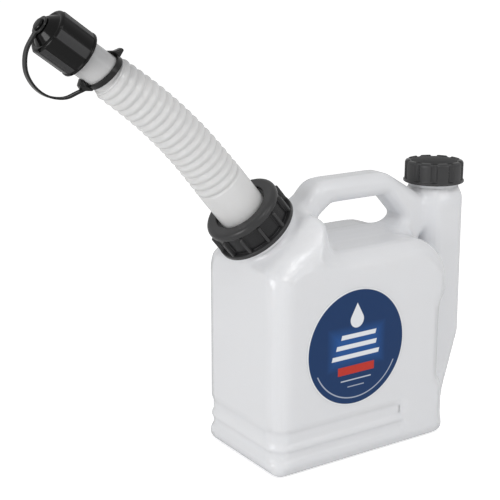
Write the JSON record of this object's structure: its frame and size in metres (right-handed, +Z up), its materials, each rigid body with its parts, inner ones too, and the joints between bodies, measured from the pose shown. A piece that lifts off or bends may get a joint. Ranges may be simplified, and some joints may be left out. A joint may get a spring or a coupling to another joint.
{
  "type": "fuel mixing bottle",
  "caption": "Translucent blow-moulded fuel mixing bottle with a carrying handle, an oil measuring tower, a flexible corrugated pouring spout and screw caps.",
  "frame": {"origin": "centre of the main chamber's footprint, on the surface that the bottle stands on", "axes": "+X along the broad face from the spout end to the oil tower, +Y away from the labelled face, +Z up"},
  "size_m": [0.2868, 0.0764, 0.2638],
  "materials": {
    "translucent_body": "satin translucent polyethylene",
    "translucent_spout": "satin translucent polyethylene",
    "printed_label": "printed film",
    "charcoal_plastic": "satin moulded plastic",
    "gloss_black_plastic": "polished moulded plastic",
    "black_strap": "soft moulded plastic",
    "black_rubber": "matte",
    "white_liner": "matte foam"
  },
  "bodies": {
    "bottle": {"bottle": "translucent_body", "label": "printed_label"},
    "spout_seat": {"spout_gasket": "black_rubber"},
    "spout": {"flexible_spout": "translucent_spout", "cap_strap": "black_strap"},
    "ring": {"pour_ring": "charcoal_plastic"},
    "spout_cap_seat": {"spout_cap_liner": "white_liner"},
    "spout_cap": {"spout_cap": "gloss_black_plastic"},
    "oil_cap_seat": {"oil_cap_liner": "white_liner"},
    "oil_cap": {"oil_cap": "charcoal_plastic"}
  },
  "joints": [
    {"name": "spout_lift", "type": "slide", "parent": "bottle", "child": "spout_seat", "axis": [-0.6428, 0, 0.766], "range_m": [0, 0.014]},
    {"name": "spout_swivel", "type": "hinge", "parent": "spout_seat", "child": "spout", "pos_m": [-0.0475, 0, 0.1336], "axis": [-0.6428, 0, 0.766], "continuous": true},
    {"name": "pour_ring_turn", "type": "hinge", "parent": "spout_seat", "child": "ring", "pos_m": [-0.0475, 0, 0.1336], "axis": [-0.6428, 0, 0.766], "range_deg": [0, 1260]},
    {"name": "spout_cap_lift", "type": "slide", "parent": "spout", "child": "spout_cap_seat", "axis": [-0.8039, 0, 0.5948], "range_m": [0, 0.02], "deforming": ["cap_strap"]},
    {"name": "spout_cap_turn", "type": "hinge", "parent": "spout_cap_seat", "child": "spout_cap", "pos_m": [-0.15766, 0, 0.24177], "axis": [-0.8039, 0, 0.5948], "range_deg": [0, 1800]},
    {"name": "oil_cap_lift", "type": "slide", "parent": "bottle", "child": "oil_cap_seat", "axis": [0, 0, 1], "range_m": [0, 0.014]},
    {"name": "oil_cap_turn", "type": "hinge", "parent": "oil_cap_seat", "child": "oil_cap", "pos_m": [0.0804, 0, 0.1517], "axis": [0, 0, 1], "range_deg": [0, 1260]}
  ],
  "couplings": [
    {"joint": "spout_lift", "follows": "pour_ring_turn", "m_per_rad": 0.00063662},
    {"joint": "spout_cap_lift", "follows": "spout_cap_turn", "m_per_rad": 0.00063662},
    {"joint": "oil_cap_lift", "follows": "oil_cap_turn", "m_per_rad": 0.00063662}
  ]
}
